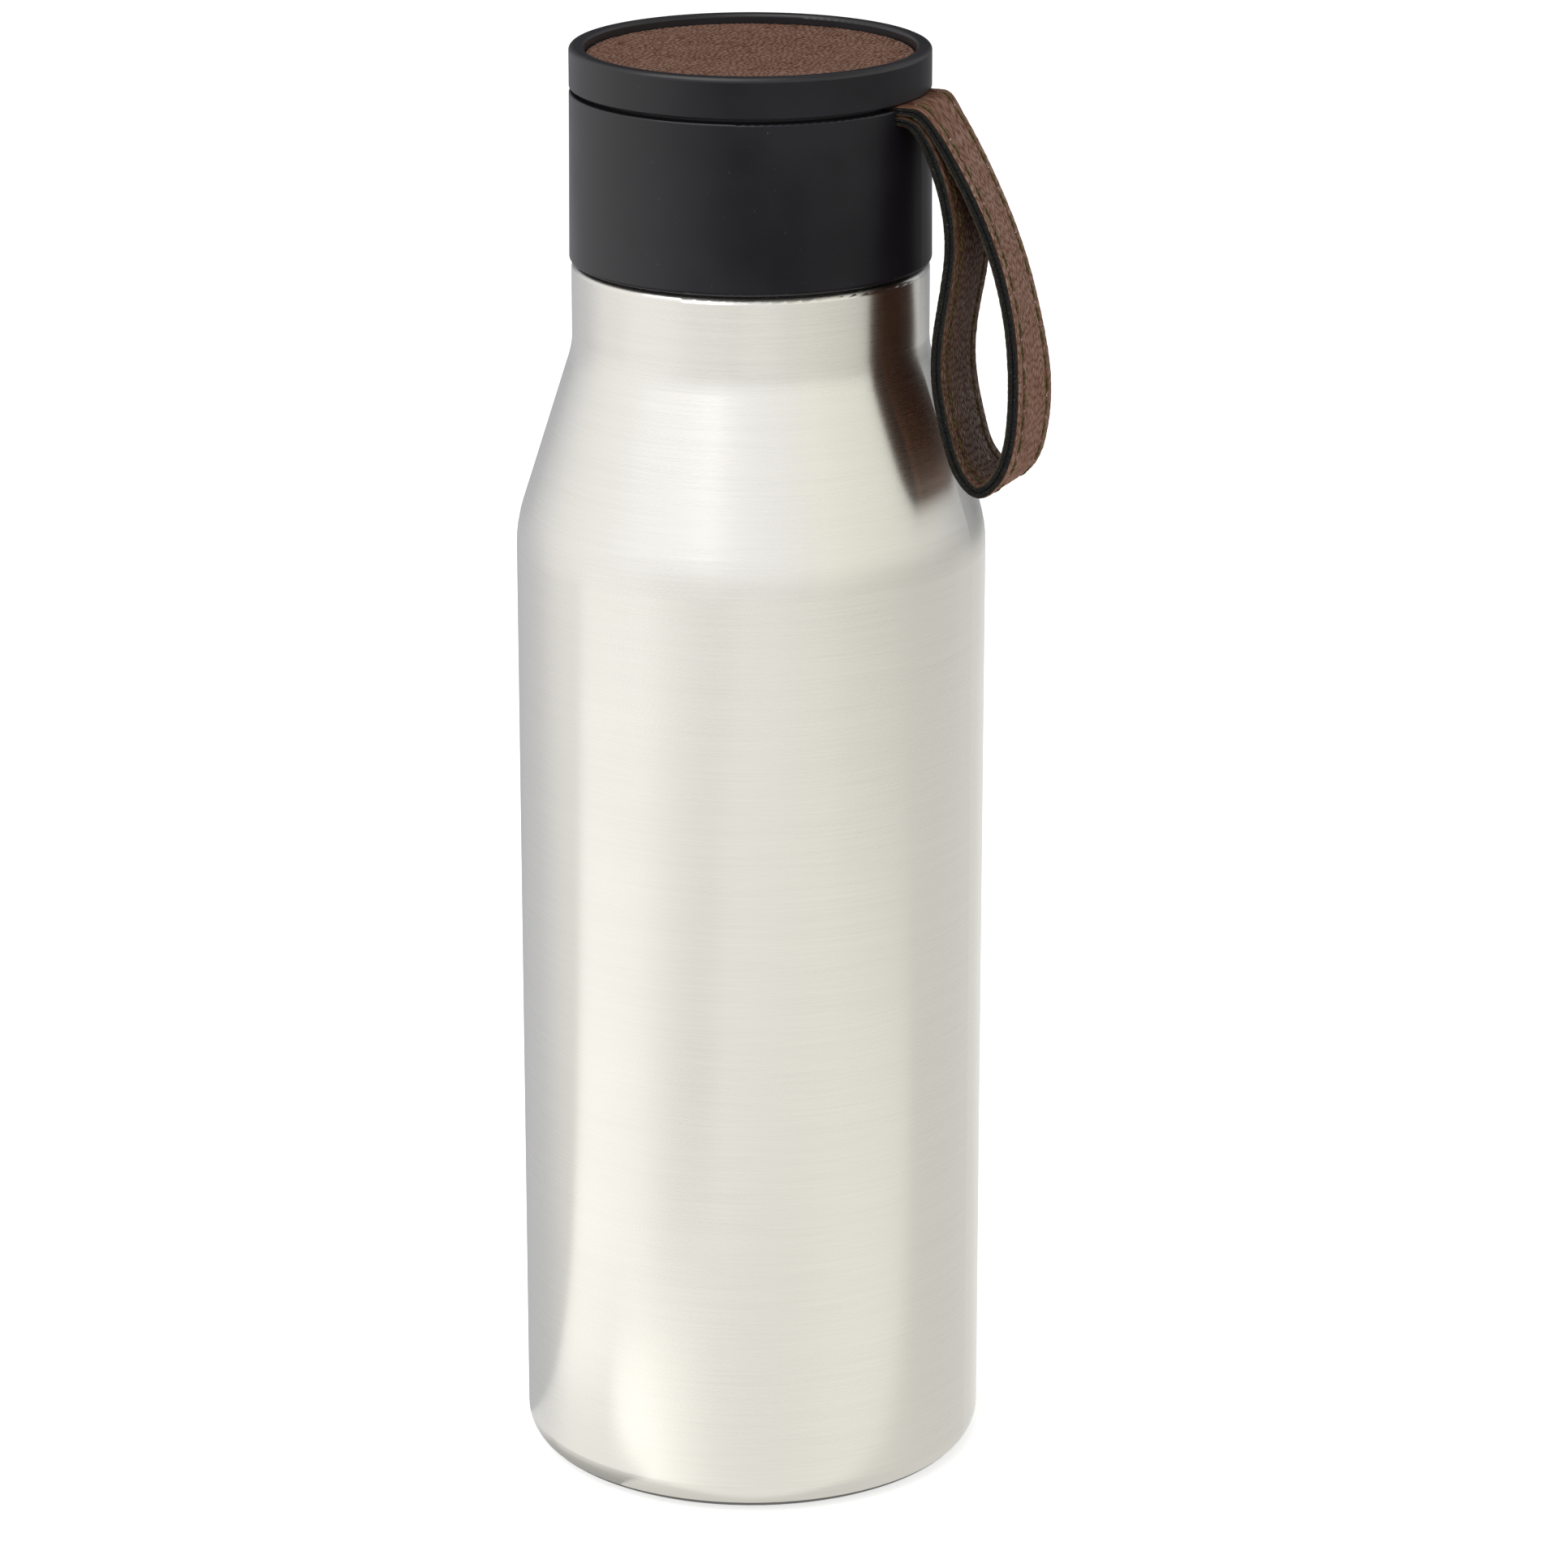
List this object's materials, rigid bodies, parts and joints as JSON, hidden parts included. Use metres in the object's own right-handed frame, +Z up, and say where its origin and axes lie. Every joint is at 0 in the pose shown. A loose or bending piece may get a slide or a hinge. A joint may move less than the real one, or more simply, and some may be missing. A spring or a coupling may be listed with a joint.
{
  "type": "insulated drinking bottle",
  "caption": "Slim double-wall steel bottle with conical shoulder, tall two-tier black screw lid, leather top disc and stitched leather carrying loop.",
  "frame": {"origin": "centre of the foot ring, on the plane the bottle stands on", "axes": "+Z up along the bottle's axis, +X towards the carrying loop, +Y completes the right-handed set"},
  "size_m": [0.0796, 0.07, 0.218],
  "materials": {
    "steel_outer": "satin",
    "steel_inner": "satin",
    "steel_small": "satin",
    "glass_bead": "gloss",
    "getter_alloy": "matte",
    "black_shell": "satin",
    "insert_plastic": "matte",
    "foam": "matte",
    "silicone": "matte",
    "adhesive": "matte",
    "leather_brown": "satin",
    "thread": "matte"
  },
  "bodies": {
    "bottle": {"outer_shell": "steel_outer", "inner_liner": "steel_inner", "vacuum_floor": "steel_inner", "seal_bead": "glass_bead", "getter_clip": "steel_small", "getter_tablet": "getter_alloy", "base_cover": "steel_outer"},
    "seal": {"seal_ring": "silicone"},
    "lid": {"lid_insert": "insert_plastic", "lid_foam": "foam", "lid_sleeve": "black_shell", "lid_crown": "black_shell", "inlay_adhesive": "adhesive", "leather_inlay": "leather_brown", "strap_end_lower": "leather_brown", "strap_end_upper": "leather_brown", "strap_clamp_plate": "steel_small", "strap_screws": "steel_small"},
    "strap": {"strap_outer_strip": "leather_brown", "strap_inner_strip": "leather_brown", "strap_stitching": "thread"}
  },
  "joints": [
    {"name": "lid_rise", "type": "slide", "parent": "bottle", "child": "seal", "axis": [0, 0, 1], "range_m": [0, 0.02]},
    {"name": "lid_turn", "type": "hinge", "parent": "seal", "child": "lid", "pos_m": [0, 0, 0.2], "axis": [0, 0, 1], "range_deg": [0, 1441]},
    {"name": "strap_swing", "type": "hinge", "parent": "lid", "child": "strap", "pos_m": [0.0283, 0, 0.2105], "axis": [0, -1, 0], "range_deg": [-3, 130], "stiffness_Nm_per_rad": 0.02, "springref_deg": 0.92}
  ],
  "couplings": [
    {"joint": "lid_turn", "follows": "lid_rise", "rad_per_m": 1256.6}
  ]
}
